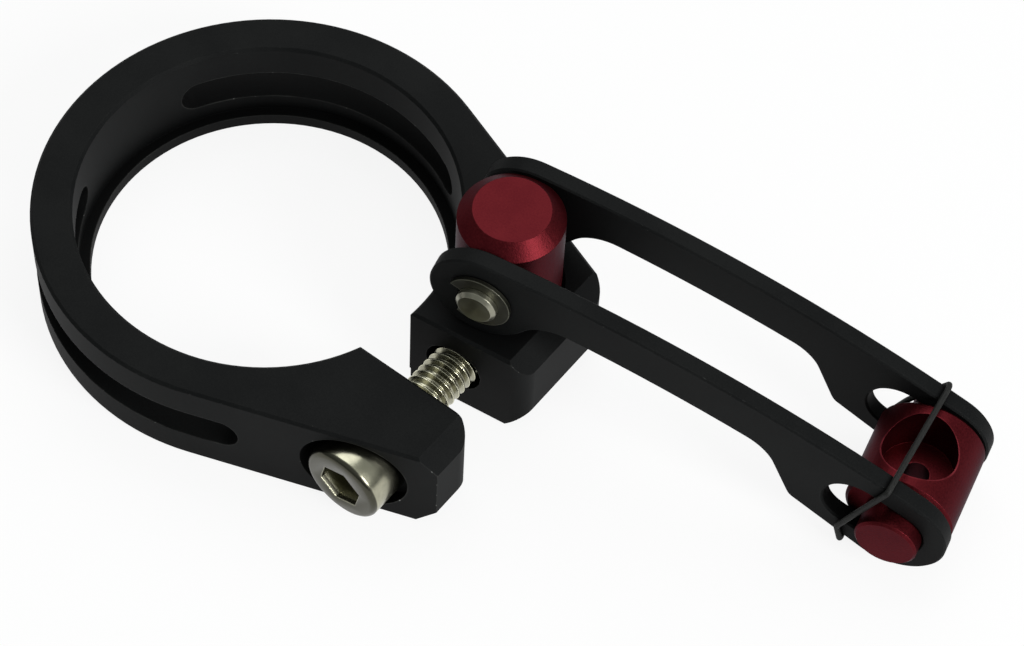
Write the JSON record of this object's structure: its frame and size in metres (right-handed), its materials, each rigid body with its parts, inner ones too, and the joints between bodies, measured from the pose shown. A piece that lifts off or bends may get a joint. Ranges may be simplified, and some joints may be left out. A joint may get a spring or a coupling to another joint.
{
  "type": "seatpost clamp",
  "caption": "Split bolted collar that clamps a seatpost in a bicycle's seat tube, with a swinging hanger of two link plates that carries a pivoting stop for the rear brake cable.",
  "frame": {"origin": "on the bore's axis, at the ledge that the end of the seat tube stops against", "axes": "+Z along the bore, away from the lip; +X towards the lugs; the clamp bolt runs along Y with its head on the -Y side"},
  "size_m": [0.0799, 0.0413, 0.0191],
  "materials": {
    "black_anodised": "satin black anodised over a fine blasted grain",
    "plate_black": "satin black anodised",
    "red_anodised": "satin red anodised",
    "stop_red": "satin red anodised",
    "bolt_steel": "bright stainless, machined",
    "pin_steel": "bright stainless, turned",
    "clip_steel": "bright spring steel",
    "band_rubber": "matt black elastic cord"
  },
  "bodies": {
    "collar": {"clamp_ring": "black_anodised", "barrel_nut": "red_anodised", "pivot_pin": "pin_steel", "pin_clip": "clip_steel"},
    "bolt": {"clamp_bolt": "bolt_steel"},
    "hanger": {"near_link_plate": "plate_black", "far_link_plate": "plate_black", "retaining_band": "band_rubber"},
    "stop": {"cable_stop": "stop_red"}
  },
  "joints": [
    {"name": "bolt_turn", "type": "hinge", "parent": "collar", "child": "bolt", "pos_m": [0.0199, -0.011, 0.0033], "axis": [0, 1, 0], "continuous": true},
    {"name": "hanger_swing", "type": "hinge", "parent": "collar", "child": "hanger", "pos_m": [0.0199, 0.0064, 0.0127], "axis": [0.2284, -0.9736, 0], "range_deg": [-35, 187]},
    {"name": "stop_turn", "type": "hinge", "parent": "hanger", "child": "stop", "pos_m": [0.05485, 0.0146, 0.00323], "axis": [0.2284, -0.9736, 0], "continuous": true}
  ]
}
